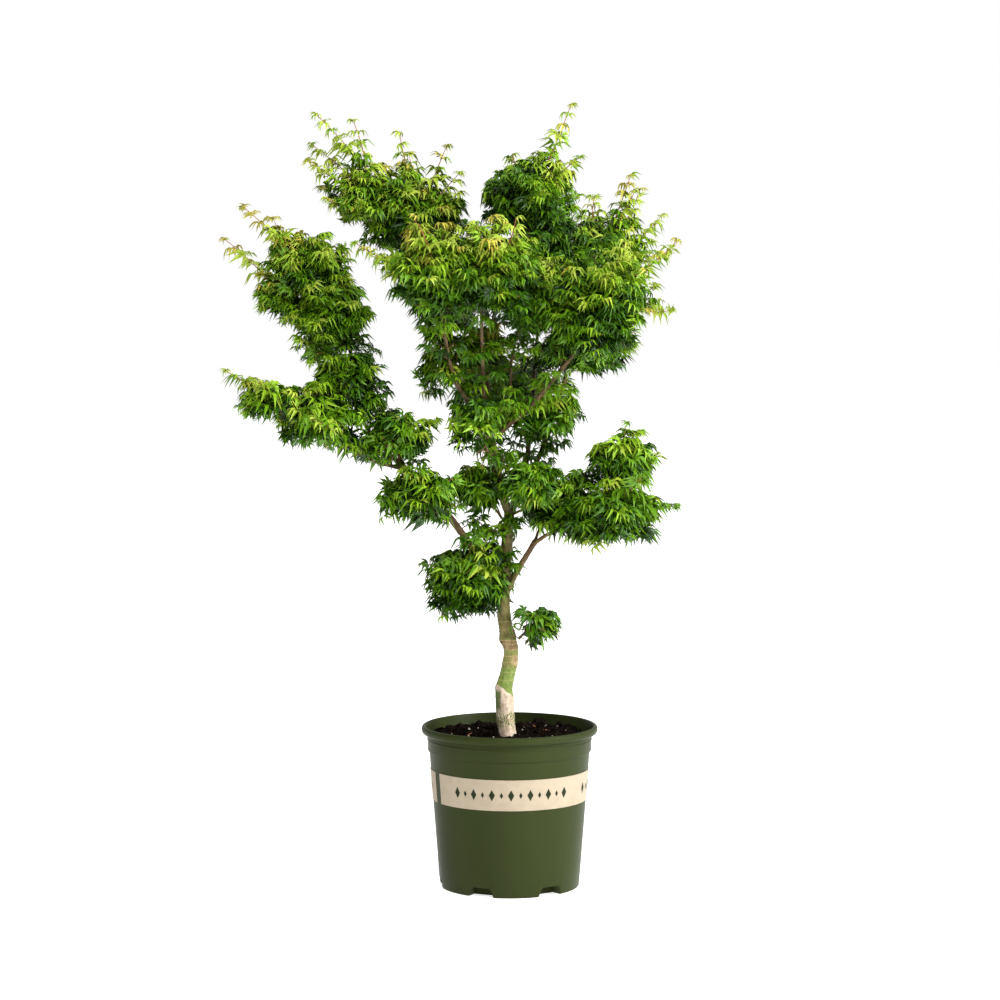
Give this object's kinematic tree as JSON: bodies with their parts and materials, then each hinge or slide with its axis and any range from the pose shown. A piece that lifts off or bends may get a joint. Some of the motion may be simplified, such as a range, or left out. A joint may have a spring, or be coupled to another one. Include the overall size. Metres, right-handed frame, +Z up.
{
  "type": "potted japanese maple",
  "caption": "Young Japanese maple with a short curved trunk, rising boughs and tufts of small lobed leaves, in a round plastic nursery pot.",
  "frame": {"origin": "middle of the pot's flat underside", "axes": "+Z up the trunk, -Y towards the front, +X to the right seen from the front"},
  "size_m": [0.8085, 0.537, 1.3432],
  "materials": {
    "pot": "satin olive green",
    "band": "matt beige print",
    "soil": "rough, near-black bark mix",
    "bark": "bark, pinkish grey low down and green above",
    "young_wood": "smooth young bark",
    "foliage": "thin satin leaves"
  },
  "bodies": {
    "root": {"pot": "pot", "band_front": "band", "band_back": "band", "soil": "soil", "trunk": "bark", "bough_left": "young_wood", "bough_left_outer": "young_wood", "bough_left_middle": "young_wood", "bough_left_upper": "young_wood", "leader_left": "young_wood", "leader_right": "young_wood", "stem_left_front": "young_wood", "stem_left_back": "young_wood", "stem_centre_front": "young_wood", "stem_centre_back": "young_wood", "stem_right_front": "young_wood", "stem_right_back": "young_wood", "stem_centre_thin": "young_wood", "bough_right": "young_wood", "bough_right_outer": "young_wood", "bough_right_inner": "young_wood", "bough_right_upper": "young_wood", "stem_back_left": "young_wood", "stem_back_low": "young_wood", "twig_left_low": "young_wood", "twig_left_inner": "young_wood", "twig_knob": "young_wood", "twig_knob_right": "young_wood", "twig_collar": "young_wood", "twig_inner_left": "young_wood", "foliage_upper_left": "foliage", "foliage_top_left": "foliage", "foliage_centre_left": "foliage", "foliage_centre": "foliage", "foliage_top": "foliage", "foliage_back_right": "foliage", "foliage_right": "foliage", "foliage_right_low": "foliage", "foliage_mid_right": "foliage", "foliage_inner_left": "foliage", "foliage_knob": "foliage", "foliage_knob_right": "foliage", "foliage_collar": "foliage", "foliage_collar_left": "foliage", "foliage_low_left": "foliage", "foliage_left_low": "foliage", "foliage_left_tip": "foliage", "foliage_left_mid": "foliage", "foliage_left_inner": "foliage", "foliage_right_tip": "foliage", "foliage_right_inner": "foliage", "foliage_right_upper": "foliage", "foliage_sprig": "foliage", "foliage_back_left": "foliage", "foliage_back": "foliage"}
  },
  "joints": []
}
